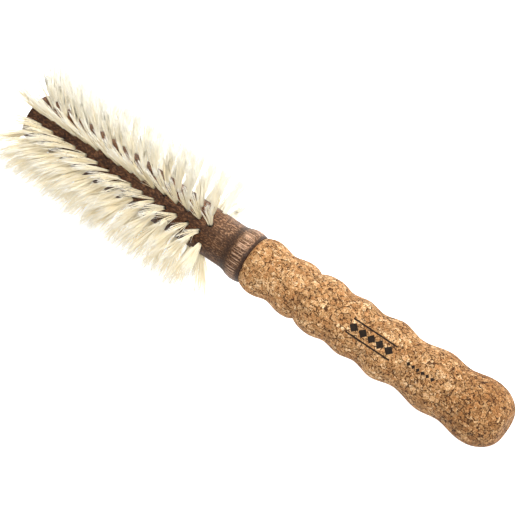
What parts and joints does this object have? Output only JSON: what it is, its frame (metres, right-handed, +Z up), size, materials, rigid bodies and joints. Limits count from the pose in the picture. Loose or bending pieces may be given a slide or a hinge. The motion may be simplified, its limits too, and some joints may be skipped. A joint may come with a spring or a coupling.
{
  "type": "round barrel brush",
  "caption": "Round hair-styling brush with a turned wooden barrel, radial rows of pale natural bristle tufts and a wavy cork grip.",
  "frame": {"origin": "on the table, under the middle of the brush as it lies at rest on the lowest tufts next to the neck and on the last swell of the cork grip", "axes": "+X towards the brush's tip, seen from above; the barrel's own axis rises 5.9 degrees from +X towards the tip; +Z up; +Y to the side"},
  "size_m": [0.2582, 0.0582, 0.0669],
  "materials": {
    "wood": "dark stained, satin",
    "cork": "sanded agglomerated cork, matte",
    "bristle": "natural pale bristle, slight sheen",
    "anchor_metal": "plain flat wire"
  },
  "bodies": {
    "root": {"wooden_barrel": "wood", "cork_grip": "cork", "bristle_row_01": "bristle", "bristle_row_02": "bristle", "bristle_row_03": "bristle", "bristle_row_04": "bristle", "bristle_row_05": "bristle", "bristle_row_06": "bristle", "bristle_row_07": "bristle", "bristle_row_08": "bristle", "bristle_row_09": "bristle", "bristle_row_10": "bristle", "bristle_row_11": "bristle", "bristle_row_12": "bristle", "anchor_row_01": "anchor_metal", "anchor_row_02": "anchor_metal", "anchor_row_03": "anchor_metal", "anchor_row_04": "anchor_metal", "anchor_row_05": "anchor_metal", "anchor_row_06": "anchor_metal", "anchor_row_07": "anchor_metal", "anchor_row_08": "anchor_metal", "anchor_row_09": "anchor_metal", "anchor_row_10": "anchor_metal", "anchor_row_11": "anchor_metal", "anchor_row_12": "anchor_metal"}
  },
  "joints": []
}
